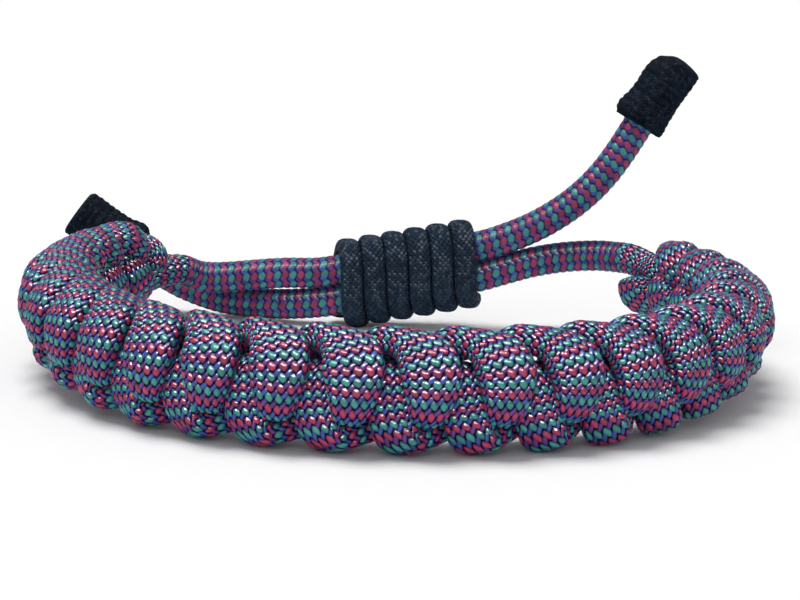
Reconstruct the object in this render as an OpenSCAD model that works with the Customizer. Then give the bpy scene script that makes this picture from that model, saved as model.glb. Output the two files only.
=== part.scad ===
/* [Band] */
// Radius of the circle that the middle of the band follows
band_radius = 36; // [34:0.5:40]
// Length of band that one turn of a strand takes
pitch = 6.45; // [6.3:0.05:6.8]
// Turns that each strand makes along the band
turns = 23; // [18:1:25]
// Height of the band when it lies on its edge
band_height = 11.7; // [11.5:0.1:12.5]
// Thickness of the band from the wrist outward
band_thickness = 8.8; // [8.6:0.1:10]
// Height by which the left end of the band is lifted off the table
left_lift = 2; // [0:0.2:3]
// Height by which the right end of the band is lifted off the table
right_lift = 1.4; // [0:0.2:3]

/* [Cord] */
// Thickness of the cord where it is pressed flat in the knots
knot_cord = 3; // [2.8:0.1:3.6]
// Diameter of the free cord of the tails
tail_cord = 3.6; // [3.4:0.1:3.8]

/* [Sliding knot] */
// Number of wraps around the two tails
wraps = 6; // [4:1:8]
// Length of knot that one wrap takes
wrap_pitch = 2.7; // [2.6:0.05:2.8]
// Thickness of the black cord
wrap_cord = 1.6; // [1.4:0.1:1.8]
// Angle by which the knot's right end is lifted
knot_tilt = 11; // [10:0.5:12]

/* [End caps] */
// Length of a cap
cap_length = 8.8; // [7:0.1:11]
// Outer diameter of a cap
cap_diameter = 6; // [5.4:0.1:6.4]

/* [Hidden] */

// Sides of every cord's section, and rings between two rows of a strand's route
cord_sides = 8;
rings_per_row = 2;
// Turn that lies at the front of the band
middle_turn = 11.65;
// Gap between pieces that lie against each other
gap = 0.05;
// Distance from the origin back to the middle of the band's circle
band_shift = 5.7;
// Distance along the band, from its front to either side, at which the end starts to lift,
// and the distance over which it does so
lift_start = 20;
lift_run = 40;

// One turn of a strand. along is in pitches, across and out are shares of the room that the
// strand has up the band and away from the wrist, and wide and thick are shares of knot_cord.
ALONG = 0;
ACROSS = 1;
OUT = 2;
WIDE = 3;
THICK = 4;
// Strand a goes over the upper edge, far down the outer face, in, and then up the inner face
turn_a = [
    // along, across, out, wide, thick
    [-0.03, 1.00, 0.15, 1.50, 0.92],
    [0.13, 0.52, 1.00, 1.68, 0.92],
    [0.08, -0.42, 0.96, 1.12, 0.88],
    [0.04, -0.26, 0.02, 1.00, 0.88],
    [0.10, 0.30, -0.48, 1.00, 0.90],
    [0.50, 0.97, -0.74, 1.00, 0.98]
];
// Strand b goes under the lower edge, up the inner face, out between two turns of a, and down
turn_b = [
    [0.10, -0.93, -0.10, 1.35, 0.84],
    [0.50, -0.52, -1.00, 1.60, 0.92],
    [0.62, 0.08, -0.97, 1.36, 0.88],
    [0.60, 0.30, 0.02, 1.00, 0.88],
    [0.60, -0.08, 0.56, 1.05, 0.88],
    [0.74, -1.07, 0.62, 1.35, 0.82]
];

// A turn moved along by a number of turns
function turn_rows(turn, number) = [
    for (r = turn) [r[ALONG] + number, r[ACROSS], r[OUT], r[WIDE], r[THICK]]
];
// The last turn ends after its face, where the strand goes in
function last_face(turn) = [for (i = [0 : 2]) turn_rows(turn, turns)[i]];

// Strand a starts as a cut end on the inner face and leaves the right end as tail b.
// Its first turn reaches less high than those that follow.
route_a = concat(
    [
        [-0.08, -0.10, -0.90, 1.00, 0.90],
        [-0.18, 0.35, -1.00, 1.00, 0.92],
        [-0.02, 0.66, 0.10, 1.35, 0.95],
        [0.10, 0.34, 0.98, 1.50, 0.95],
        [0.10, -0.34, 0.94, 1.35, 0.90]
    ],
    [for (i = [3 : 5]) turn_a[i]],
    [for (number = [1 : turns - 1]) each turn_rows(turn_a, number)],
    last_face(turn_a),
    [
        [turns + 0.12, -0.30, 0.20, 1.00, 1.00],
        [turns + 0.60, 0.20, 0.05, 1.15, 1.15],
        [turns + 1.32, 0.50, 0.00, 1.20, 1.20]
    ]
);
// Strand b leaves the left end as tail a and ends, cut short, where it would go in
route_b = concat(
    [
        [-1.35, -0.40, 0.00, 1.20, 1.20],
        [-0.70, -0.45, 0.20, 1.15, 1.10],
        [-0.15, -0.98, 0.72, 1.10, 0.92]
    ],
    [for (number = [0 : turns - 1]) each turn_rows(turn_b, number)],
    last_face(turn_b)
);

// A point of a smooth curve through four rows, share of the way from the second to the third
function smooth(before, from, to, after, share) =
    from + share * (to - before) / 2
    + share * share * (2 * before - 5 * from + 4 * to - after) / 2
    + share * share * share * (3 * from - before - 3 * to + after) / 2;

// Row i of a list, with a straight run past either end
function row_at(rows, i) =
    i < 0 ? 2 * rows[0] - rows[1]
    : i >= len(rows) ? 2 * rows[len(rows) - 1] - rows[len(rows) - 2]
    : rows[i];

// The rows with steps - 1 smooth rows put between each two
function refined(rows, steps) = [
    for (i = [0 : len(rows) - 2], k = [0 : steps - 1])
        smooth(row_at(rows, i - 1), row_at(rows, i), row_at(rows, i + 1), row_at(rows, i + 2), k / steps),
    rows[len(rows) - 1]
];

function unit(v) = v / norm(v);

// Room for the middle of a strand: the smooth curve swings a little past its rows up the band,
// so that room is smaller than half the cord's thickness alone would leave
swing = 0.6;
across_room = band_height / 2 - knot_cord * swing;
out_room = (band_thickness - knot_cord) / 2;

// A rise from 0 to 1 that starts and ends level
function eased(share) = let (s = max(0, min(1, share))) s * s * (3 - 2 * s);

// Places a point of the straight band, given in pitches and shares, on the band's circle
function on_band(along, across, out) =
    let (
        run = (along - middle_turn) * pitch,
        angle = run / band_radius * 180 / PI,
        reach = band_radius + out * out_room,
        end_lift = run < 0 ? left_lift : right_lift,
        lift = end_lift * eased((abs(run) - lift_start) / lift_run)
    )
    [reach * sin(angle), band_shift - reach * cos(angle), band_height / 2 + across * across_room + lift];

// The middle of the coil that a row belongs to, which its flat face looks away from
coil_height = 0.25;
function coil_middle(row, side) = on_band(row[ALONG], coil_height * side, 0);

// A closed tube. Each ring is [middle, wide half axis, thick half axis].
module tube(rings) {
    points = [
        for (ring = rings, s = [0 : cord_sides - 1])
            ring[0] + ring[1] * cos((s + 0.5) * 360 / cord_sides) + ring[2] * sin((s + 0.5) * 360 / cord_sides)
    ];
    last = (len(rings) - 1) * cord_sides;
    walls = [
        for (i = [0 : len(rings) - 2], s = [0 : cord_sides - 1])
            let (a = i * cord_sides + s, b = i * cord_sides + (s + 1) % cord_sides)
            each [[a, b, a + cord_sides], [b, b + cord_sides, a + cord_sides]]
    ];
    near_end = [for (s = [cord_sides - 1 : -1 : 0]) s];
    far_end = [for (s = [0 : cord_sides - 1]) last + s];
    polyhedron(points, concat(walls, [near_end, far_end]), convexity = 10);
}

// Rings for a line of middles, with the facing vectors and the two sizes of each ring.
// A polygon's sides lie inside its corners, so the corners are moved out by fullness.
fullness = 1.05;
function rings_of(middles, facings, widths, thicknesses) = [
    for (i = [0 : len(middles) - 1])
        let (
            ahead = middles[min(i + 1, len(middles) - 1)],
            behind = middles[max(i - 1, 0)],
            tangent = unit(ahead - behind),
            side = unit(cross(tangent, facings[i])),
            face = cross(side, tangent)
        )
        [middles[i], side * widths[i] / 2 * fullness, face * thicknesses[i] / 2 * fullness]
];

module strand(rows, side) {
    fine = refined(rows, rings_per_row);
    middles = [for (r = fine) on_band(r[ALONG], r[ACROSS], r[OUT])];
    facings = [for (i = [0 : len(fine) - 1]) middles[i] - coil_middle(fine[i], side)];
    tube(rings_of(
        middles,
        facings,
        [for (r = fine) r[WIDE] * knot_cord],
        [for (r = fine) r[THICK] * knot_cord]
    ));
}

// A round tube along a list of points, with a ring at every point and steps - 1 rings between
module cord(points, diameter, steps) {
    middles = refined(points, steps);
    tube(rings_of(
        middles,
        [for (m = middles) [0, 0, 1]],
        [for (m = middles) diameter],
        [for (m = middles) diameter]
    ));
}

// The tails' routes: points of their middles, in millimetres
tail_a_points = [
    [-25.8, 30.75, 6.2],
    [-23.8, 31.8, 5.5],
    [-21.0, 32.1, 5.5],
    [-17.5, 31.9, 5.9],
    [-13.5, 31.6, 6.3],
    [-10.0, 31.3, 6.4],
    [-6.7, 31.2, 6.95],
    [1.3, 31.2, 8.5],
    [9.3, 31.2, 10.05],
    [13.0, 31.2, 11.25],
    [16.4, 31.2, 12.75],
    [19.6, 31.3, 14.7],
    [22.3, 31.4, 16.9],
    [24.6, 31.6, 19.4],
    [26.55, 31.8, 22.2],
    [28.3, 31.9, 25.15]
];
tail_b_points = [
    [27.4, 29.0, 9.3],
    [25.4, 30.9, 9.4],
    [22.6, 32.0, 9.2],
    [19.2, 32.3, 8.8],
    [15.6, 32.0, 8.1],
    [12.4, 31.5, 7.2],
    [9.3, 31.2, 6.35],
    [1.3, 31.2, 4.8],
    [-6.7, 31.2, 3.25],
    [-10.0, 31.5, 2.7],
    [-13.5, 32.3, 2.3],
    [-17.0, 33.6, 2.1],
    [-20.8, 35.0, 2.2],
    [-24.6, 36.2, 3.0],
    [-28.4, 36.9, 4.6],
    [-32.4, 36.9, 7.4]
];
tail_steps = 2;

// The wraps lie around both tails: half the height of the wrapped pair's straight middle,
// and the distance from a tail's middle to the wrapping cord's middle
pair_half = tail_cord / 2 + gap;
wrap_reach = tail_cord / 2 + wrap_cord / 2 + 4 * gap;
rings_per_wrap = 10;
knot_middle = [1.3, 31.2, 6.65];
// The black cord starts under the left end, a bit more than half its wraps from the middle
first_wrap = -wraps / 2 - 0.15;
// Share of a wrap's height over which it passes from one tail to the other
side_share = 0.25;

// Offset from the knot's middle around the tails, number of wraps from that middle
function wrap_offset(number) =
    let (up = sin(number * 360), side = max(-1, min(1, up / side_share)))
    [0, wrap_reach * cos(number * 360), wrap_reach * up + pair_half * side];

// The wraps stand upright, each a little higher than the one to its left
function wrap_point(number) =
    knot_middle + wrap_offset(number) + number * wrap_pitch * [1, 0, tan(knot_tilt)];

// A cap is a sleeve around the tail's end. It stands at a place and looks along a direction.
module cap(place, direction) {
    tilt = acos(unit(direction)[2]);
    turn = atan2(direction[1], direction[0]);
    edge = 0.8;
    waist = 0.94;
    cap_radius = cap_diameter / 2;
    translate(place) rotate([0, tilt, turn]) rotate_extrude($fn = 28) polygon([
        [0, 0],
        [cap_radius - edge / 2, 0],
        [cap_radius, edge / 2],
        [cap_radius * waist, cap_length / 2],
        [cap_radius, cap_length - edge],
        [cap_radius - edge, cap_length],
        [0, cap_length]
    ]);
}

// A cap starts just past the last point of its tail, and goes on the way the tail ends
function end_direction(points) = unit(points[len(points) - 1] - points[len(points) - 2]);
function past_end(points) = points[len(points) - 1] + end_direction(points) * 2 * gap;

module knot_strand_a() {
    color("teal") strand(route_a, 1);
}

module knot_strand_b() {
    color("firebrick") strand(route_b, -1);
}

module tail_a() {
    color("slateblue") cord(tail_a_points, tail_cord, tail_steps);
}

module tail_b() {
    color("seagreen") cord(tail_b_points, tail_cord, tail_steps);
}

module sliding_knot() {
    numbers = [for (i = [0 : wraps * rings_per_wrap]) first_wrap + i / rings_per_wrap];
    color("black") tube(rings_of(
        [for (n = numbers) wrap_point(n)],
        [for (n = numbers) wrap_offset(n)],
        [for (n = numbers) wrap_pitch - gap],
        [for (n = numbers) wrap_cord]
    ));
}

module end_cap_a() {
    color("dimgray") cap(past_end(tail_a_points), end_direction(tail_a_points));
}

module end_cap_b() {
    color("dimgray") cap(past_end(tail_b_points), end_direction(tail_b_points));
}

knot_strand_a();
knot_strand_b();
tail_a();
tail_b();
sliding_knot();
end_cap_a();
end_cap_b();
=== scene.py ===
import math

import bpy
import numpy as np
from mathutils import Matrix, Vector


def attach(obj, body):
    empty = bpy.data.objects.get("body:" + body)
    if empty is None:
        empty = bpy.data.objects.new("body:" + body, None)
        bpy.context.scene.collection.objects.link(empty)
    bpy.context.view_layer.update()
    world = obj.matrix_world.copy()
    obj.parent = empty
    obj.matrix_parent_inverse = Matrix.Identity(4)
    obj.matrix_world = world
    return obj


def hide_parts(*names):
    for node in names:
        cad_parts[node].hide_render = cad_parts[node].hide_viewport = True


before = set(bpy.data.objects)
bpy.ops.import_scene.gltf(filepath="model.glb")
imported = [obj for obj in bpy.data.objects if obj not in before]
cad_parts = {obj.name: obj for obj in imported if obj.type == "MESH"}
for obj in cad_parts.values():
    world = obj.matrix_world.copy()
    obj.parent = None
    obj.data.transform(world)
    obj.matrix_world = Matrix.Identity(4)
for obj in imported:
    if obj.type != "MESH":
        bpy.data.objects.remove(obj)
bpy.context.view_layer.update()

# The studio. The bracelet lies on a plain white table in a white room, under a wide soft light
# from above and a weaker one from the front. The camera stands in front, a fifth of a metre
# from the bracelet's middle, and looks a little down. All sizes here are in millimetres.
MM = 0.001
camera_place = Vector((0.325, -207.8, 45.6)) * MM
camera_pitch = 10.03
camera_roll = 1.4
lens = 89.8
sensor_width = 36
nearest_seen = 10
floor_size = 8000
floor_white = 0.9
floor_roughness = 0.7
horizon_light = 0.22
ceiling_light = 0.4
horizon_start = -0.2

camera_data = bpy.data.cameras.new("camera")
camera_data.lens = lens
camera_data.sensor_width = sensor_width
camera_data.clip_start = nearest_seen * MM
camera = bpy.data.objects.new("camera", camera_data)
bpy.context.collection.objects.link(camera)
camera.matrix_world = (
    Matrix.Translation(camera_place)
    @ Matrix.Rotation(math.radians(90 - camera_pitch), 4, "X")
    @ Matrix.Rotation(math.radians(camera_roll), 4, "Z")
)
bpy.context.scene.camera = camera
bpy.context.scene.view_settings.view_transform = "Standard"

world = bpy.data.worlds.new("white_room")
world.use_nodes = True
bpy.context.scene.world = world
room = world.node_tree.nodes["Background"]
room.inputs["Strength"].default_value = 1.0
upward = world.node_tree.nodes.new("ShaderNodeSeparateXYZ")
directions = world.node_tree.nodes.new("ShaderNodeTexCoord")
brightness = world.node_tree.nodes.new("ShaderNodeMapRange")
brightness.inputs["From Min"].default_value = horizon_start
brightness.inputs["To Min"].default_value = horizon_light
brightness.inputs["To Max"].default_value = ceiling_light
world.node_tree.links.new(directions.outputs["Generated"], upward.inputs[0])
world.node_tree.links.new(upward.outputs["Z"], brightness.inputs["Value"])
world.node_tree.links.new(brightness.outputs[0], room.inputs["Color"])


def studio_light(name, comes_from, spread, strength):
    """A light that reaches the whole table evenly, from a direction, as wide as a soft box looks"""
    data = bpy.data.lights.new(name, "SUN")
    data.angle = math.radians(spread)
    data.energy = strength
    light = bpy.data.objects.new(name, data)
    light.rotation_euler = Vector(comes_from).to_track_quat("Z", "Y").to_euler()
    bpy.context.collection.objects.link(light)
    return light


studio_light("key_light", comes_from=(-0.2, 0.05, 1.0), spread=36, strength=2.3)
studio_light("front_light", comes_from=(-0.1, -1.0, 0.3), spread=60, strength=0.6)

# Four narrow lights stand in an arc around the front and show only as gloss: they make the small
# bright spots on the yarns.
spark_azimuths = (-60, -20, 20, 60)
spark_side = 1.2
spark_height = 1.7
for number, azimuth in enumerate(spark_azimuths):
    sideways = spark_side * math.sin(math.radians(azimuth))
    forward = math.cos(math.radians(azimuth))
    spark_light = studio_light(
        f"spark_light_{number}",
        comes_from=(sideways, -forward, spark_height),
        spread=10,
        strength=5.5,
    )
    spark_light.visible_diffuse = False


def plain_material(name):
    """A new material with its node tree and its Principled shader"""
    material = bpy.data.materials.new(name)
    material.use_nodes = True
    return material, material.node_tree, material.node_tree.nodes["Principled BSDF"]


bpy.ops.object.select_all(action="DESELECT")
bpy.ops.mesh.primitive_plane_add(size=floor_size * MM, location=(0, 0, 0))
floor = bpy.context.object
floor.name = "floor"
floor_material, _, floor_shader = plain_material("white_table")
floor_shader.inputs["Base Color"].default_value = (floor_white, floor_white, floor_white, 1)
floor_shader.inputs["Roughness"].default_value = floor_roughness
floor_shader.inputs["Specular IOR Level"].default_value = 0.0
floor.data.materials.append(floor_material)

# The patterned cord. It is a woven nylon sleeve of green, crimson, blue and purple yarn over a
# soft core. The same cord makes the two strands of the band and the two tails, so its weave,
# its material and the way a length of it is built are made here.
tail_cord = 3.6
band_pick = 1.08
tail_pick = 0.95
column_width = 1.24
first_lean = math.radians(57)
second_lean = math.radians(-46)
pick_half_length = 0.5
pick_bluntness = 4
first_half_width = 0.39
second_half_width = 0.30
second_height = 0.84
gap_depth = -0.35
band_relief = 0.14
tail_relief = 0.08
samples_per_pick = 4
samples_per_column = 6
outline_points = 145
filament_rate = 60.0


def pick_height(u, v, lag):
    """Height of the woven surface: two sets of leaning oval picks, the second set a lag behind"""
    heights = []
    for aside, behind, lean, half_width, top in (
        (0.0, 0.0, first_lean, first_half_width, 1.0),
        (0.5, lag, second_lean, second_half_width, second_height),
    ):
        x = ((u + aside) % 1 - 0.5) * column_width
        y = ((v + behind) % 1 - 0.5) * band_pick
        along = x * math.sin(lean) + y * math.cos(lean)
        across = x * math.cos(lean) - y * math.sin(lean)
        heights.append(top - (along / pick_half_length) ** pick_bluntness - (across / half_width) ** 2)
    return np.maximum(np.maximum(heights[0], heights[1]), gap_depth)


def smooth_line(points, steps):
    """The smooth line through a list of points, with steps - 1 points between each two"""
    points = np.array(points, float)
    padded = np.vstack([2 * points[0] - points[1], points, 2 * points[-1] - points[-2]])
    shares = (np.arange(steps) / steps)[:, None]
    line = []
    for before, start, end, after in zip(padded, padded[1:], padded[2:], padded[3:]):
        line.append(
            start
            + shares * (end - before) / 2
            + shares**2 * (2 * before - 5 * start + 4 * end - after) / 2
            + shares**3 * (3 * start - before - 3 * end + after) / 2
        )
    return np.vstack(line + [points[-1:]])


def length_along(line):
    """Distance from the start of a line to each of its points"""
    return np.concatenate([[0], np.cumsum(np.linalg.norm(np.diff(line, axis=0), axis=1))])


def resampled(values, at, places):
    """Columns of values given at some places, read off at others"""
    return np.stack([np.interp(places, at, column) for column in values.T], axis=1)


def softened(values, reach):
    """Each row averaged with the rows around it, so that a line turns gently"""
    weights = np.exp(-0.5 * (np.arange(-3 * reach, 3 * reach + 1) / reach) ** 2)
    weights /= weights.sum()
    padded = np.pad(values, ((3 * reach, 3 * reach), (0, 0)), mode="reflect", reflect_type="odd")
    return np.stack([np.convolve(column, weights, "valid") for column in padded.T], axis=1)


def units(vectors):
    """Vectors at length one"""
    return vectors / np.linalg.norm(vectors, axis=1, keepdims=True)


def section_places(wide, thick, squareness, shares):
    """Points and outward normals at shares of the way around a rounded section"""
    angle = np.linspace(0, 2 * math.pi, outline_points)
    cosine = np.cos(angle)
    sine = np.sin(angle)
    across = wide / 2 * np.sign(cosine) * np.abs(cosine) ** (2 / squareness)
    outward = thick / 2 * np.sign(sine) * np.abs(sine) ** (2 / squareness)
    around = np.concatenate([[0], np.cumsum(np.hypot(np.diff(across), np.diff(outward)))])
    turned = (shares % 1) * around[-1]
    place = np.stack([np.interp(turned, around, across), np.interp(turned, around, outward)], axis=1)
    ahead = np.roll(place, -1, axis=0) - np.roll(place, 1, axis=0)
    normal = units(np.stack([ahead[:, 1], -ahead[:, 0]], axis=1))
    return place, normal


def cord_rings(middles, facings, sizes, squareness, side_count, sunk):
    """Rings of points for a cord. sunk gives the depth of its surface at shares around each ring."""
    tangents = units(np.gradient(middles, axis=0))
    across_axis = units(np.cross(tangents, facings))
    face_axis = np.cross(across_axis, tangents)
    carried = across_axis[0]
    shares = np.arange(side_count) / side_count
    rings = []
    for i, middle in enumerate(middles):
        carried = carried - tangents[i] * carried.dot(tangents[i])
        carried /= np.linalg.norm(carried)
        twist = math.atan2(carried.dot(face_axis[i]), carried.dot(across_axis[i])) / (2 * math.pi)
        place, normal = section_places(*sizes[i], squareness[i], shares + twist)
        place = place - normal * sunk(shares, i)[:, None]
        rings.append(middle + place[:, :1] * across_axis[i] + place[:, 1:] * face_axis[i])
    return np.array(rings)


def tube_cells(ring_count, side_count):
    """Ring and side number of each quad in the wall of a tube"""
    i, s = np.meshgrid(np.arange(ring_count - 1), np.arange(side_count), indexing="ij")
    return i.ravel(), s.ravel()


def tube_faces(ring_count, side_count):
    """Corners of the quads in the wall of a tube, and of the triangles that close its ends"""
    i, s = tube_cells(ring_count, side_count)
    following = (s + 1) % side_count
    quads = np.stack([
        i * side_count + s,
        (i + 1) * side_count + s,
        (i + 1) * side_count + following,
        i * side_count + following,
    ], axis=1)
    around = np.arange(side_count)
    beside = (around + 1) % side_count
    last = (ring_count - 1) * side_count
    start_middle = np.full(side_count, ring_count * side_count)
    start_fan = np.stack([around, beside, start_middle], axis=1)
    end_fan = np.stack([last + beside, last + around, start_middle + 1], axis=1)
    return quads, np.concatenate([start_fan, end_fan])


def tube_weave(picks, columns, side_count):
    """Places on the weave map for the corners of those faces, in the same order"""
    i, s = tube_cells(len(picks), side_count)
    around = np.arange(side_count)
    width = columns / side_count
    u = np.stack([s, s, s + 1, s + 1], axis=1) * width
    v = np.stack([picks[i], picks[i + 1], picks[i + 1], picks[i]], axis=1)
    start_u = np.stack([around, around + 1, around + 0.5], axis=1) * width
    end_u = np.stack([around + 1, around, around + 0.5], axis=1) * width
    return np.concatenate([
        np.stack([u.ravel(), v.ravel()], axis=1),
        np.stack([start_u.ravel(), np.full(3 * side_count, picks[0])], axis=1),
        np.stack([end_u.ravel(), np.full(3 * side_count, picks[-1])], axis=1),
    ])


def closed_tube(name, rings, picks, columns):
    """A mesh object from rings of points, closed at both ends, with its weave map"""
    ring_count, side_count, _ = rings.shape
    ends = np.array([rings[0].mean(axis=0), rings[-1].mean(axis=0)])
    points = np.vstack([rings.reshape(-1, 3), ends]) * MM
    quads, triangles = tube_faces(ring_count, side_count)
    loops = np.concatenate([quads.ravel(), triangles.ravel()])
    starts = np.concatenate([
        np.arange(len(quads)) * 4,
        quads.size + np.arange(len(triangles)) * 3,
    ])
    mesh = bpy.data.meshes.new(name)
    mesh.vertices.add(len(points))
    mesh.vertices.foreach_set("co", points.ravel())
    mesh.loops.add(len(loops))
    mesh.loops.foreach_set("vertex_index", loops)
    mesh.polygons.add(len(starts))
    mesh.polygons.foreach_set("loop_start", starts)
    mesh.update(calc_edges=True)
    mesh.validate()
    weave_map = mesh.uv_layers.new(name="weave")
    weave_map.data.foreach_set("uv", tube_weave(picks, columns, side_count).ravel())
    mesh.shade_smooth()
    piece = bpy.data.objects.new(name, mesh)
    bpy.context.collection.objects.link(piece)
    return piece


def linear(*screen_colour):
    """A colour as it looks on a screen, 0 to 255, in the shaders' units"""
    shares = [value / 255 for value in screen_colour]
    return tuple(s / 12.92 if s <= 0.04 else ((s + 0.055) / 1.055) ** 2.4 for s in shares) + (1.0,)


def calculated(tree, operation, *values):
    """The output of a Math node fed with numbers or sockets"""
    node = tree.nodes.new("ShaderNodeMath")
    node.operation = operation
    for socket, value in zip(node.inputs, values):
        if isinstance(value, (int, float)):
            socket.default_value = value
        else:
            tree.links.new(value, socket)
    return node.outputs[0]


def clamped(socket):
    """The same output, kept between 0 and 1"""
    socket.node.use_clamp = True
    return socket


MIX_SHARE, MIX_FIRST_COLOUR, MIX_SECOND_COLOUR = 0, 6, 7
MIX_RESULT_COLOUR = 2


def mixed(tree, share, first, second):
    """The colour that lies a share of the way from one colour to another"""
    node = tree.nodes.new("ShaderNodeMix")
    node.data_type = "RGBA"
    places = {MIX_SHARE: share, MIX_FIRST_COLOUR: first, MIX_SECOND_COLOUR: second}
    for place, value in places.items():
        if isinstance(value, (int, float, tuple)):
            node.inputs[place].default_value = value
        else:
            tree.links.new(value, node.inputs[place])
    return node.outputs[MIX_RESULT_COLOUR]


def new_group(name, inputs, outputs):
    """A shader node group with named sockets, Place a vector and the others numbers, and its ends"""
    group = bpy.data.node_groups.new(name, "ShaderNodeTree")
    for socket in inputs:
        kind = "NodeSocketVector" if socket == "Place" else "NodeSocketFloat"
        group.interface.new_socket(socket, in_out="INPUT", socket_type=kind)
    for socket in outputs:
        group.interface.new_socket(socket, in_out="OUTPUT", socket_type="NodeSocketFloat")
    return group, group.nodes.new("NodeGroupInput"), group.nodes.new("NodeGroupOutput")


def pick_set(group, inner, place, aside, behind, lean, half_width, top):
    """One of a braid's two sets of picks: its height, the way across a pick, its column, its ring"""
    u = calculated(group, "ADD", place.outputs[0], aside)
    v = calculated(group, "ADD", place.outputs[1], behind)
    x = calculated(group, "SUBTRACT", calculated(group, "FRACT", u), 0.5)
    y = calculated(group, "SUBTRACT", calculated(group, "FRACT", v), 0.5)
    x = calculated(group, "MULTIPLY", x, inner.outputs["Column width"])
    y = calculated(group, "MULTIPLY", y, inner.outputs["Pick length"])
    sine = calculated(group, "SINE", inner.outputs[lean])
    cosine = calculated(group, "COSINE", inner.outputs[lean])
    across_part = calculated(group, "MULTIPLY", y, sine)
    along = calculated(group, "MULTIPLY_ADD", x, sine, calculated(group, "MULTIPLY", y, cosine))
    across = calculated(group, "SUBTRACT", calculated(group, "MULTIPLY", x, cosine), across_part)
    long_part = calculated(group, "DIVIDE", along, inner.outputs["Half length"])
    wide_part = calculated(group, "DIVIDE", across, inner.outputs[half_width])
    long_part = calculated(group, "ABSOLUTE", long_part)
    long_part = calculated(group, "POWER", long_part, pick_bluntness)
    wide_part = calculated(group, "MULTIPLY", wide_part, wide_part)
    height = calculated(group, "SUBTRACT", top, calculated(group, "ADD", long_part, wide_part))
    column = calculated(group, "FLOORED_MODULO", calculated(group, "FLOOR", u), inner.outputs["Columns"])
    ring = calculated(group, "FLOOR", v)
    return height, across, column, ring


def weave_group():
    """Picks of a braid: which set lies on top, its ring, its height, its filaments, a random value"""
    group, inner, outer = new_group(
        "braid_picks",
        [
            "Place", "Columns", "Column width", "Pick length", "Lag", "First lean", "Second lean",
            "Half length", "First half width", "Second half width", "Second height",
        ],
        ["Top set", "Odd ring", "Height", "Filaments", "Random"],
    )
    place = group.nodes.new("ShaderNodeSeparateXYZ")
    group.links.new(inner.outputs["Place"], place.inputs[0])
    lag = inner.outputs["Lag"]
    second_top = inner.outputs["Second height"]
    first_rise, *first_values = pick_set(
        group, inner, place, 0.0, 0.0, "First lean", "First half width", 1.0
    )
    second_rise, *second_values = pick_set(
        group, inner, place, 0.5, lag, "Second lean", "Second half width", second_top
    )
    top_set = calculated(group, "GREATER_THAN", second_rise, first_rise)
    chosen = []
    for first, second in zip(first_values, second_values):
        difference = calculated(group, "SUBTRACT", second, first)
        chosen.append(calculated(group, "MULTIPLY_ADD", difference, top_set, first))
    across, column, ring = chosen
    cell = group.nodes.new("ShaderNodeCombineXYZ")
    group.links.new(column, cell.inputs[0])
    group.links.new(ring, cell.inputs[1])
    group.links.new(top_set, cell.inputs[2])
    noise = group.nodes.new("ShaderNodeTexWhiteNoise")
    noise.noise_dimensions = "3D"
    group.links.new(cell.outputs[0], noise.inputs["Vector"])
    filaments = calculated(group, "SINE", calculated(group, "MULTIPLY", across, filament_rate))
    height = calculated(group, "MAXIMUM", first_rise, second_rise)
    group.links.new(top_set, outer.inputs["Top set"])
    group.links.new(calculated(group, "FLOORED_MODULO", ring, 2.0), outer.inputs["Odd ring"])
    group.links.new(calculated(group, "MAXIMUM", height, gap_depth), outer.inputs["Height"])
    group.links.new(filaments, outer.inputs["Filaments"])
    group.links.new(noise.outputs["Value"], outer.inputs["Random"])
    return group


braid_picks = weave_group()


def placed_weave(tree, settings):
    """The weave group in a material, on the piece's own weave map"""
    uv_map = tree.nodes.new("ShaderNodeUVMap")
    uv_map.uv_map = "weave"
    node = tree.nodes.new("ShaderNodeGroup")
    node.node_tree = braid_picks
    tree.links.new(uv_map.outputs[0], node.inputs["Place"])
    for socket, value in settings.items():
        node.inputs[socket].default_value = value
    return node


def raised(tree, shader, height, distance):
    """A bump on the shader from a height"""
    bump = tree.nodes.new("ShaderNodeBump")
    bump.inputs["Distance"].default_value = distance
    tree.links.new(height, bump.inputs["Height"])
    tree.links.new(bump.outputs[0], shader.inputs["Normal"])


green = linear(58, 160, 150)
crimson = linear(184, 50, 92)
blue = linear(54, 86, 176)
purple = linear(106, 50, 142)
faded_yarn = linear(104, 104, 128)
# Painted shade: the next colour is the dark navy put in the gaps between the picks, where shade falls,
# and the value after it sets how fast that shade gives way to the yarn.
painted_gap_shade = linear(14, 12, 56)
gap_shade_contrast = 1.15
wear = 0.5
least_worn = 0.62
filament_height = 0.012
yarn_roughness = 0.25


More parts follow.
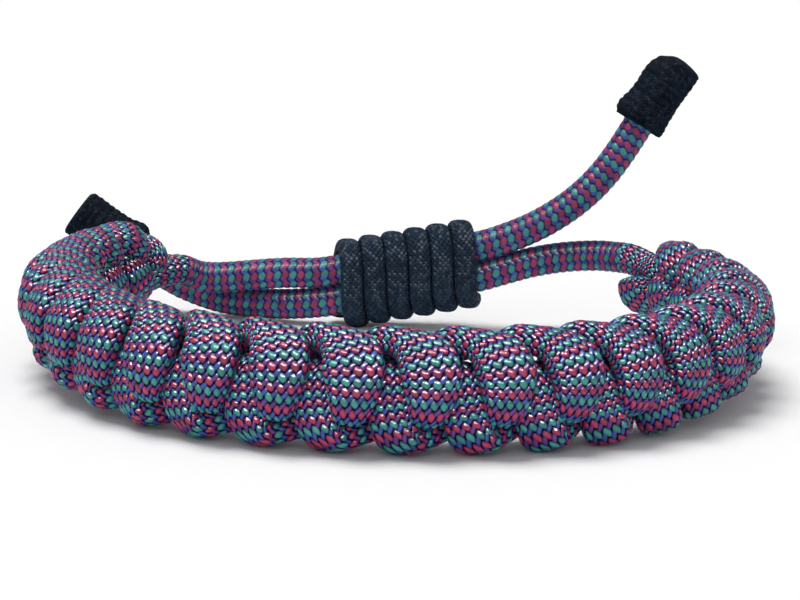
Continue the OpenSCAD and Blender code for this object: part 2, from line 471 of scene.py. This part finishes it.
def nylon_cord(name, columns, lag, shine, depth, fill, fade):
    """
    Glossy yarns: green and crimson rings of picks by turns, blue and purple ones between them.
    shine is the gloss, depth the bump, fill how little of the painted shade in the gaps shows, and fade
    how dull it looks.
    """
    material, tree, shader = plain_material(name)
    weave = placed_weave(tree, {
        "Columns": columns,
        "Column width": column_width,
        "Pick length": band_pick,
        "Lag": lag,
        "First lean": first_lean,
        "Second lean": second_lean,
        "Half length": pick_half_length,
        "First half width": first_half_width,
        "Second half width": second_half_width,
        "Second height": second_height,
    })
    first_set = mixed(tree, weave.outputs["Odd ring"], green, crimson)
    second_set = mixed(tree, weave.outputs["Odd ring"], blue, purple)
    yarn = mixed(tree, weave.outputs["Top set"], first_set, second_set)
    yarn = mixed(tree, fade, yarn, faded_yarn)
    # Painted shade: where the weave lies low, in the gaps between picks, the colour turns to the dark
    # navy shade; each pick also gets a random tone of its own.
    clear_of_gap_shade = clamped(calculated(tree, "MULTIPLY_ADD", weave.outputs["Height"], gap_shade_contrast, fill))
    worn = calculated(tree, "MULTIPLY_ADD", weave.outputs["Random"], wear, least_worn)
    lit = calculated(tree, "MULTIPLY", clear_of_gap_shade, worn)
    tree.links.new(mixed(tree, lit, painted_gap_shade, yarn), shader.inputs["Base Color"])
    shader.inputs["Roughness"].default_value = yarn_roughness
    tree.links.new(calculated(tree, "MULTIPLY", clear_of_gap_shade, shine), shader.inputs["Specular IOR Level"])
    filaments = weave.outputs["Filaments"]
    height = calculated(tree, "MULTIPLY_ADD", filaments, filament_height, weave.outputs["Height"])
    raised(tree, shader, height, depth * MM)
    return material


# The band. Two strands of the cord are tied in a row of snake knots, each turn of one around the
# other, half a pitch apart. The knots are pulled tight, so the cord is pressed flat where it
# faces out.
band_radius = 36.0
pitch = 6.45
turns = 23
band_height = 11.7
band_thickness = 8.8
left_lift = 2.0
right_lift = 1.4
left_squeeze = 0.08
right_squeeze = 0.15
knot_cord = 3.0
middle_turn = 11.65
band_shift = 5.7
lift_start = 20.0
lift_run = 40.0
swing = 0.6
coil_height = 0.25
across_room = band_height / 2 - knot_cord * swing
out_room = (band_thickness - knot_cord) / 2

# One turn of each strand. The sections are mostly fuller than the solids', because the real
# cords press into each other and leave no gap.
ALONG, ACROSS, OUT, WIDE, THICK = range(5)
turn_a = np.array([
    # along, across, out, wide, thick
    [-0.03, 1.00, 0.15, 1.60, 0.92],
    [0.13, 0.52, 1.00, 1.85, 0.92],
    [0.08, -0.42, 0.96, 1.12, 0.88],
    [0.04, -0.26, 0.02, 1.00, 0.88],
    [0.10, 0.30, -0.48, 1.20, 1.00],
    [0.50, 0.97, -0.74, 1.40, 0.98],
])
turn_b = np.array([
    [0.10, -0.93, -0.10, 1.35, 0.90],
    [0.50, -0.52, -1.00, 1.85, 0.92],
    [0.62, 0.08, -0.97, 1.30, 0.88],
    [0.60, 0.30, 0.02, 1.20, 1.00],
    [0.60, -0.08, 0.56, 1.45, 0.95],
    [0.74, -1.07, 0.62, 1.45, 0.84],
])


def turn_rows(turn, number):
    """A turn moved along by a number of turns"""
    return turn + [number, 0, 0, 0, 0]


def all_turns(turn, first):
    """The turns of a strand from a first one on, and the face of one more"""
    whole = [turn_rows(turn, number) for number in range(first, turns)]
    return np.vstack(whole + [turn_rows(turn, turns)[:3]])


route_a = np.vstack([
    [
        [-0.08, -0.10, -0.90, 1.00, 0.90],
        [-0.18, 0.35, -1.00, 1.00, 0.92],
        [-0.02, 0.66, 0.10, 1.35, 0.95],
        [0.10, 0.34, 0.98, 1.50, 0.95],
        [0.10, -0.34, 0.94, 1.35, 0.90],
    ],
    turn_a[3:],
    all_turns(turn_a, 1),
    [
        [turns + 0.12, -0.30, 0.20, 1.00, 1.00],
        [turns + 0.60, 0.20, 0.05, 1.15, 1.15],
        [turns + 1.32, 0.50, 0.00, 1.20, 1.20],
    ],
])
route_b = np.vstack([
    [
        [-1.35, -0.40, 0.00, 1.20, 1.20],
        [-0.70, -0.45, 0.20, 1.25, 1.20],
        [-0.15, -0.98, 0.72, 1.20, 1.00],
    ],
    all_turns(turn_b, 0),
])


def eased_in(full, share):
    """A value that grows gently from nothing to its full size as a share goes from 0 to 1"""
    return full * share**2 * (3 - 2 * share)


def on_band(rows):
    """Places on the band's circle for rows given in pitches and shares of the room"""
    run = (rows[:, ALONG] - middle_turn) * pitch
    angle = run / band_radius
    reach = band_radius + rows[:, OUT] * out_room
    share = np.clip((np.abs(run) - lift_start) / lift_run, 0, 1)
    lift = eased_in(np.where(run < 0, left_lift, right_lift), share)
    squeezed = eased_in(np.where(run < 0, left_squeeze, right_squeeze), share)
    width_place = rows[:, ACROSS] * (1 - squeezed) + squeezed
    height = band_height / 2 + width_place * across_room + lift
    return np.stack([reach * np.sin(angle), band_shift - reach * np.cos(angle), height], axis=1)


# The tails. Each strand runs on past its end of the band as a free tail, round and not pressed
# flat. The tails come from opposite sides, pass through the sliding knot one above the other,
# and end beyond it.
tail_a_points = [
    [-25.8, 30.75, 6.2],
    [-23.8, 31.8, 5.5],
    [-21.0, 32.1, 5.5],
    [-17.5, 31.9, 5.9],
    [-13.5, 31.6, 6.3],
    [-10.0, 31.3, 6.4],
    [-6.7, 31.2, 6.95],
    [1.3, 31.2, 8.5],
    [9.3, 31.2, 10.05],
    [13.0, 31.2, 11.25],
    [16.4, 31.2, 12.75],
    [19.6, 31.3, 14.7],
    [22.3, 31.4, 16.9],
    [24.6, 31.6, 19.4],
    [26.55, 31.8, 22.2],
    [28.3, 31.9, 25.15],
]
tail_b_points = [
    [27.4, 29.0, 9.3],
    [25.4, 30.9, 9.4],
    [22.6, 32.0, 9.2],
    [19.2, 32.3, 8.8],
    [15.6, 32.0, 8.1],
    [12.4, 31.5, 7.2],
    [9.3, 31.2, 6.35],
    [1.3, 31.2, 4.8],
    [-6.7, 31.2, 3.25],
    [-10.0, 31.5, 2.7],
    [-13.5, 32.3, 2.3],
    [-17.0, 33.6, 2.1],
    [-20.8, 35.0, 2.2],
    [-24.6, 36.2, 3.0],
    [-28.4, 36.9, 4.6],
    [-32.4, 36.9, 7.4],
]
route_steps = 10
fine_step = 0.2
route_reach = 4
tail_sleeve = 3.76
tail_overrun = 0.5
plump = 1.04
round_squareness = 2
flat_squareness = 2.9
stub_shares = (0.45, 0.75, 0.92)
table_gap = 0.02
band_columns = 13
tail_columns = 9
band_lag = 0.42
tail_lag = 0.22
band_cord_material = nylon_cord(
    "nylon_cord_in_the_band", band_columns, band_lag, shine=0.42, depth=0.11, fill=0.24, fade=0.1
)
tail_cord_material = nylon_cord(
    "nylon_cord_in_the_tails", tail_columns, tail_lag, shine=0.06, depth=0.02, fill=0.62, fade=0.3
)


def whole_cord(strand, side, tail_points):
    """A strand and its tail: middle, facing and sizes at each ring, pick numbers, first tail ring"""
    fine = smooth_line(strand, route_steps)
    coil_rows = fine.copy()
    coil_rows[:, ACROSS] = coil_height * side
    coil_rows[:, OUT] = 0
    middles = on_band(fine)
    facings = units(middles - on_band(coil_rows))
    tail = smooth_line(tail_points, route_steps)[route_steps // 2 :]
    onward = units(tail[-1:] - tail[-2:-1]) * tail_overrun
    tail = np.vstack([tail, tail[-1:] + onward])
    every = np.vstack([
        np.hstack([middles, facings, fine[:, [WIDE, THICK]] * knot_cord * plump]),
        np.hstack([tail, np.tile([0, 0, 1, tail_sleeve, tail_sleeve], (len(tail), 1))]),
    ])
    at = length_along(every[:, :3])
    places = np.arange(0, at[-1], fine_step)
    strand_share = places / at[len(fine) - 1]
    every = softened(resampled(every, at, places), route_reach)
    outer_face = every[:, :3] + units(every[:, 3:6]) * every[:, 7:] / 2
    steps = np.diff(length_along(outer_face), prepend=0)
    picks = np.cumsum(steps / np.where(strand_share < 1, band_pick, tail_pick))
    marks = np.arange(0, picks[-1], 1 / samples_per_pick)
    tail_start = int(np.searchsorted(np.interp(marks, picks, strand_share), 1))
    return resampled(every, picks, marks), marks, tail_start


def woven_tube(every, picks, columns, lag, relief):
    """The rings of a length of the patterned cord, with its picks raised"""
    flatness = np.clip(2 * (every[:, 6] / every[:, 7] - 1), 0, 1)
    squareness = round_squareness + (flat_squareness - round_squareness) * flatness

    def sunk(shares, i):
        return relief * (1 - pick_height(shares * columns, picks[i], lag))

    sides = columns * samples_per_column
    return cord_rings(every[:, :3], units(every[:, 3:6]), every[:, 6:], squareness, sides, sunk)


def blunt_start(rings):
    """The first rings drawn in, so that a cut end is a blunt round stub"""
    rings = rings.copy()
    for i, share in enumerate(stub_shares):
        middle = rings[i].mean(axis=0)
        rings[i] = middle + (rings[i] - middle) * share
    return rings


def flattened_on_table(rings):
    """Nothing reaches below the table"""
    rings = rings.copy()
    rings[:, :, 2] = np.maximum(rings[:, :, 2], table_gap)
    return rings


def finished(piece, material, slot, *nodes):
    """The piece gets its material, rides with the bracelet and stands for its nodes"""
    piece.data.materials.append(material)
    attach(piece, "root")
    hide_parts(*nodes)


def band_cord(strand, side, tail_points, strand_name, tail_name):
    """One cord: a strand in two lengths and its tail. Gives the tail and the line it follows."""
    every, picks, tail_start = whole_cord(strand, side, tail_points)
    in_band = slice(0, tail_start + 1)
    rings = woven_tube(every[in_band], picks[in_band], band_columns, band_lag, band_relief)
    rings = flattened_on_table(blunt_start(rings))
    parted = tail_start // 2
    for ending, first, last in (("_first", 0, parted + 2), ("_second", parted, tail_start + 1)):
        length = closed_tube(strand_name + ending, rings[first:last], picks[first:last], band_columns)
        finished(length, band_cord_material, "cord", strand_name)
    rings = woven_tube(every[tail_start:], picks[tail_start:], tail_columns, tail_lag, tail_relief)
    tail = closed_tube(tail_name + "_cord", flattened_on_table(rings), picks[tail_start:], tail_columns)
    finished(tail, tail_cord_material, "cord", tail_name)
    return tail, every[tail_start:, :3] * MM


tail_b, tail_b_path = band_cord(route_a, 1, tail_b_points, "knot_strand_a", "tail_b")
tail_a, tail_a_path = band_cord(route_b[::-1], -1, tail_a_points, "knot_strand_b", "tail_a")

# The sliding knot. A thinner black cord is wound six times around both tails, tightly enough
# to stay where it is pushed, and its ends are tucked in underneath.
wraps = 6
wrap_pitch = 2.7
wrap_cord = 1.6
knot_tilt = 11.0
gap = 0.05
pair_half = tail_cord / 2 + gap
wrap_reach = tail_cord / 2 + wrap_cord / 2 + 4 * gap
knot_middle = np.array([1.3, 31.2, 6.65])
tucked_under = 0.15
first_wrap = -wraps / 2 - tucked_under
side_share = 0.25
wrap_columns = 11
wrap_pick = 0.64
wrap_plump = 1.2
wrap_relief = 0.07
wrap_lag = 0.5
wrap_squareness = 2.6
points_per_wrap = 220
rings_per_wrap_pick = 3
sides_per_wrap_column = 4
wrap_softening = 3


def wrap_lines():
    """The middle of the black cord all along, and the way out from the tails at each point"""
    numbers = first_wrap + np.arange(wraps * points_per_wrap) / points_per_wrap
    angle = numbers * 2 * math.pi
    up = np.sin(angle)
    offsets = np.stack([
        np.zeros_like(angle),
        wrap_reach * np.cos(angle),
        wrap_reach * up + pair_half * np.clip(up / side_share, -1, 1),
    ], axis=1)
    rise = math.tan(math.radians(knot_tilt))
    return knot_middle + offsets + np.outer(numbers * wrap_pitch, [1, 0, rise]), offsets


# Painted shade: the first colour is the darker black put in the gaps between the picks, where shade
# falls; the second is the picks' own black.
black_painted_gap_shade = linear(20, 30, 43)
black_on_top = linear(46, 62, 80)
black_gap_shade_contrast = 1.2
black_fill = 0.3
black_wear = 0.5
black_least_worn = 0.4
dull_share = 0.5
extra_gloss = 0.05
least_gloss = 0.01
black_roughness = 0.36
black_filament_height = 0.02
black_depth = 0.11


def black_cord():
    """Fine black nylon, half of whose picks catch a little light"""
    material, tree, shader = plain_material("black_cord")
    weave = placed_weave(tree, {
        "Columns": wrap_columns,
        "Column width": column_width,
        "Pick length": band_pick,
        "Lag": wrap_lag,
        "First lean": first_lean,
        "Second lean": second_lean,
        "Half length": pick_half_length,
        "First half width": first_half_width,
        "Second half width": first_half_width,
        "Second height": 1.0,
    })
    random = weave.outputs["Random"]
    # Painted shade: the colour darkens towards the gap shade where the weave lies low; each pick also
    # gets a random tone.
    clear_of_gap_shade = calculated(tree, "MULTIPLY_ADD", weave.outputs["Height"], black_gap_shade_contrast, black_fill)
    worn = calculated(tree, "MULTIPLY_ADD", random, black_wear, black_least_worn)
    lit = calculated(tree, "MULTIPLY", clamped(clear_of_gap_shade), worn)
    tree.links.new(mixed(tree, lit, black_painted_gap_shade, black_on_top), shader.inputs["Base Color"])
    glossy = calculated(tree, "GREATER_THAN", random, dull_share)
    glossy = calculated(tree, "MULTIPLY_ADD", glossy, extra_gloss, least_gloss)
    tree.links.new(glossy, shader.inputs["Specular IOR Level"])
    shader.inputs["Roughness"].default_value = black_roughness
    filaments = weave.outputs["Filaments"]
    height = calculated(tree, "MULTIPLY_ADD", filaments, black_filament_height, weave.outputs["Height"])
    raised(tree, shader, height, black_depth * MM)
    return material


def wrap_rings():
    """Rings of the black cord with its picks raised, and its pick numbers"""
    middles, offsets = wrap_lines()
    at = length_along(middles)
    places = np.arange(0, at[-1], wrap_pick / rings_per_wrap_pick)
    every = softened(resampled(np.hstack([middles, offsets]), at, places), wrap_softening)
    picks = places / wrap_pick
    sizes = np.tile([wrap_pitch + gap, wrap_cord * wrap_plump], (len(places), 1))

    def sunk(shares, i):
        return wrap_relief * (1 - pick_height(shares * wrap_columns, picks[i], wrap_lag))

    sides = wrap_columns * sides_per_wrap_column
    squareness = np.full(len(places), wrap_squareness)
    return cord_rings(every[:, :3], units(every[:, 3:]), sizes, squareness, sides, sunk), picks


rings, picks = wrap_rings()
rings = blunt_start(blunt_start(rings)[::-1])[::-1]
wound = closed_tube("wound_cord", flattened_on_table(rings), picks, wrap_columns)
finished(wound, black_cord(), "black_cord", "sliding_knot")

# The end caps. Each tail's end is bound with a thin black thread, turn beside turn, which keeps
# the weave from fraying. The binding is stiff and rough, a little narrower in its middle, with a
# lip where the tail goes in and a worn corner at its far end.
cap_length = 8.8
cap_diameter = 6.0
cap_edge = 0.9
edge_start = 0.5
edge_depth = 0.5
fray = 0.5
cap_fullness = 1.06
cap_dome = 0.4
corner_length = 2.8
cap_lip = 0.4
lip_place = 1.3
cap_sides = 96
cap_step = 0.07
waist_depth = 0.06
thread = 0.84
thread_relief = 0.09
rib_level = 0.8
roughness_seed = 7
noise_rows = 200
lump_size = 0.05
lump_reach = 1
swelling_size = 1.5
swelling_reach = 9
ragged_reach = 2
near_end_shares = (0.3, 0.6, 0.85)
far_end_shares = (0.97, 0.85, 0.6, 0.3)


def rough_thread():
    """Fine lumps and broad swellings all over a binding, and the ragged edge at its near end"""
    grain = np.random.default_rng(roughness_seed)
    lumps = grain.normal(0, lump_size, (noise_rows, cap_sides))
    lumps = softened(softened(lumps, lump_reach).T, lump_reach).T
    swellings = grain.normal(0, swelling_size, (noise_rows, cap_sides))
    swellings = softened(softened(swellings, swelling_reach).T, swelling_reach).T
    ragged = softened(grain.normal(0, fray, (cap_sides, 1)), ragged_reach)[:, 0]
    return lumps, swellings, ragged


def binding_stations(radius, worn_corner):
    """Places along a binding and how far out it reaches there, from its near end to its far end"""
    stations = [(0.0, radius * share) for share in near_end_shares]
    stations += [(at, radius) for at in np.arange(0, cap_length, cap_step)]
    stations += [
        (cap_length + cap_dome * worn_corner * (1 - share**2), radius * share)
        for share in far_end_shares
    ]
    return stations


def binding_rings(place, direction, worn_corner):
    """Rings of a rough wound binding that stands at a place and looks along a direction"""
    across = np.cross(direction, [0, 0, 1.0])
    across /= np.linalg.norm(across)
    upward = np.cross(across, direction)
    radius = cap_diameter / 2 * cap_fullness
    lumps, swellings, ragged = rough_thread()
    stations = binding_stations(radius, worn_corner)
    angle = np.arange(cap_sides) / cap_sides * 2 * math.pi
    upper_side = np.maximum(np.sin(angle), 0)
    rings = []
    for i, (at, reach) in enumerate(stations):
        waist = 1 - waist_depth * math.sin(math.pi * at / cap_length)
        from_end = max(cap_length - at, 0)
        rounding = 1 - edge_depth * (1 - min(1, from_end / cap_edge + edge_start)) ** 2
        turn = at / thread - angle / (2 * math.pi)
        rib = thread_relief * (np.abs(np.sin(math.pi * turn)) - rib_level)
        reaches = reach * waist * rounding + (rib + lumps[i] + swellings[i]) * (reach / radius)
        corner = worn_corner * max(0, 1 - from_end / corner_length) ** 2
        lip = cap_lip * math.exp(-(((at - lip_place) / lip_place) ** 2))
        reaches = reaches + (lip - corner) * upper_side * (reach / radius)
        ahead = at + np.abs(ragged) * max(0, 1 - at / cap_edge) * (reach / radius)
        rings.append(
            place + np.outer(ahead, direction)
            + np.outer(reaches * np.cos(angle), across) + np.outer(reaches * np.sin(angle), upward)
        )
    return np.array(rings), np.array([at / thread for at, _ in stations])


binding_columns = 26
binding_column_width = 0.65
binding_pick = 0.42
binding_lag = 0.5
binding_half_length = 0.30
binding_half_width = 0.20
picks_per_thread = 2
fleck_rarity = 2.0
binding_dark = linear(10, 18, 28)
binding_pale = linear(36, 46, 62)
binding_roughness = 0.8
binding_gloss = 0.02
binding_depth = 0.08


def binding_thread():
    """Dull black thread, some of it paler than the rest"""
    material, tree, shader = plain_material("black_binding")
    weave = placed_weave(tree, {
        "Columns": binding_columns,
        "Column width": binding_column_width,
        "Pick length": binding_pick,
        "Lag": binding_lag,
        "First lean": first_lean,
        "Second lean": second_lean,
        "Half length": binding_half_length,
        "First half width": binding_half_width,
        "Second half width": binding_half_width,
        "Second height": 1.0,
    })
    fleck = calculated(tree, "POWER", weave.outputs["Random"], fleck_rarity)
    lit = clamped(calculated(tree, "MULTIPLY", fleck, weave.outputs["Height"]))
    tree.links.new(mixed(tree, lit, binding_dark, binding_pale), shader.inputs["Base Color"])
    shader.inputs["Roughness"].default_value = binding_roughness
    shader.inputs["Specular IOR Level"].default_value = binding_gloss
    raised(tree, shader, weave.outputs["Height"], binding_depth * MM)
    return material


binding_material = binding_thread()


def end_binding(node, tail_points, worn_corner):
    """The binding just past the end of a tail, looking the way the tail ends"""
    end, before = np.array(tail_points[-1]), np.array(tail_points[-2])
    direction = (end - before) / np.linalg.norm(end - before)
    rings, turns_made = binding_rings(end + direction * 2 * gap, direction, worn_corner)
    piece = closed_tube(node + "_binding", rings, turns_made * picks_per_thread, binding_columns)
    finished(piece, binding_material, "cap_binding", node)
    return piece


binding_a = end_binding("end_cap_a", tail_a_points, worn_corner=1.3)
binding_b = end_binding("end_cap_b", tail_b_points, worn_corner=0.2)
